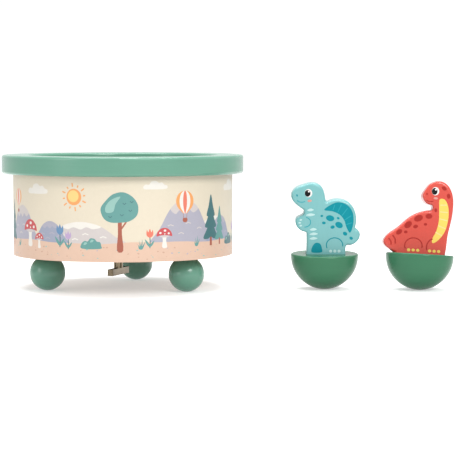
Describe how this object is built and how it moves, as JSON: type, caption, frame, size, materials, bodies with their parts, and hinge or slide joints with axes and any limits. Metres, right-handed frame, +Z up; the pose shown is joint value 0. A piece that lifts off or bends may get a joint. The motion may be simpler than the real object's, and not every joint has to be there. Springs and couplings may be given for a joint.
{
  "type": "cylinder music box",
  "caption": "Round wooden wind-up music box on ball feet, with a pinned-cylinder movement and an underside key, and magnetic toy figures that dance on its rimmed stage.",
  "frame": {"origin": "centre of the whole set's footprint, on the surface it stands on", "axes": "+Z up, out of the stage; +X along the set from the drum to the figures; -Y towards the pictured front"},
  "size_m": [0.2608, 0.14, 0.0774],
  "materials": {
    "mint_paint": "satin water-based paint on turned wood",
    "stage_paint": "satin paint on plywood",
    "base_green_paint": "satin paint on a turned ball",
    "teal_paint": "satin paint with printed marks",
    "coral_paint": "satin paint with printed marks",
    "printed_paper": "matt printed paper",
    "plywood": "sanded plywood",
    "beech": "plain beech",
    "nickel_plate": "nickel-plated pressed steel",
    "steel": "bright steel",
    "spring_steel": "blued spring steel",
    "magnet_nickel": "nickel-plated magnet",
    "zinc_casting": "bare zinc die casting",
    "brass": "bright brass",
    "arm_plastic": "natural moulded plastic",
    "fan_aluminium": "plain sheet"
  },
  "bodies": {
    "casing": {"base_plate": "plywood", "drum_wall": "plywood", "print_sleeve": "printed_paper", "top_ring": "mint_paint", "stage_plate": "stage_paint", "ring_dowels": "beech", "base_screws": "steel", "foot_front_left": "mint_paint", "foot_front_right": "mint_paint", "foot_rear": "mint_paint", "foot_screws": "steel", "key_bush": "brass", "clutch_spring": "spring_steel", "comb": "steel", "comb_block": "zinc_casting", "comb_screws": "steel", "cylinder_bracket_inner": "zinc_casting", "cylinder_bracket_outer": "zinc_casting", "bracket_screws": "steel", "governor_bracket": "zinc_casting", "governor_bracket_screw": "steel", "bedplate": "zinc_casting", "bedplate_screws": "steel"},
    "winding_key": {"key_bar": "nickel_plate", "key_hub": "nickel_plate", "winding_arbor": "steel"},
    "barrel": {"spring_barrel": "brass", "barrel_cover": "brass", "mainspring": "spring_steel", "crown_wheel": "brass", "magnet_arm": "arm_plastic", "drive_magnets": "magnet_nickel", "arm_screws": "steel"},
    "cylinder": {"cylinder_arbor": "steel", "cylinder_pinion": "brass", "pin_cylinder": "brass", "cylinder_wheel": "brass"},
    "fast_spindle": {"governor_spindle": "steel", "governor_pinion": "brass", "worm_wheel": "brass"},
    "governor": {"governor_worm": "steel", "governor_fan": "fan_aluminium"},
    "sail_dancer": {"sail_base": "base_green_paint", "sail_figure": "teal_paint", "sail_magnet": "magnet_nickel", "sail_peg": "beech"},
    "longneck_dancer": {"longneck_base": "base_green_paint", "longneck_figure": "coral_paint", "longneck_magnet": "magnet_nickel", "longneck_peg": "beech"}
  },
  "joints": [
    {"name": "key_turn", "type": "hinge", "parent": "casing", "child": "winding_key", "pos_m": [-0.0634, 0, 0], "axis": [0, 0, 1], "continuous": true},
    {"name": "barrel_turn", "type": "hinge", "parent": "casing", "child": "barrel", "pos_m": [-0.0634, 0, 0], "axis": [0, 0, 1], "continuous": true},
    {"name": "cylinder_turn", "type": "hinge", "parent": "casing", "child": "cylinder", "pos_m": [-0.0634, 0, 0.0375], "axis": [0.9135, 0.4067, 0], "continuous": true},
    {"name": "fast_spindle_turn", "type": "hinge", "parent": "casing", "child": "fast_spindle", "pos_m": [-0.05852, -0.01096, 0.0375], "axis": [0.9135, 0.4067, 0], "continuous": true},
    {"name": "governor_turn", "type": "hinge", "parent": "casing", "child": "governor", "pos_m": [-0.01537, -0.00204, 0], "axis": [0, 0, 1], "continuous": true},
    {"name": "sail_figure_rock", "type": "hinge", "parent": "casing", "child": "sail_dancer", "pos_m": [0.0564, -0.0117, 0.0195], "axis": [0, 1, 0], "range_deg": [-20, 20]},
    {"name": "longneck_figure_rock", "type": "hinge", "parent": "casing", "child": "longneck_dancer", "pos_m": [0.1109, -0.0159, 0.0195], "axis": [0, 1, 0], "range_deg": [-20, 20]}
  ],
  "couplings": [
    {"joint": "cylinder_turn", "follows": "barrel_turn", "ratio": -2},
    {"joint": "fast_spindle_turn", "follows": "barrel_turn", "ratio": 6},
    {"joint": "governor_turn", "follows": "barrel_turn", "ratio": 60}
  ]
}
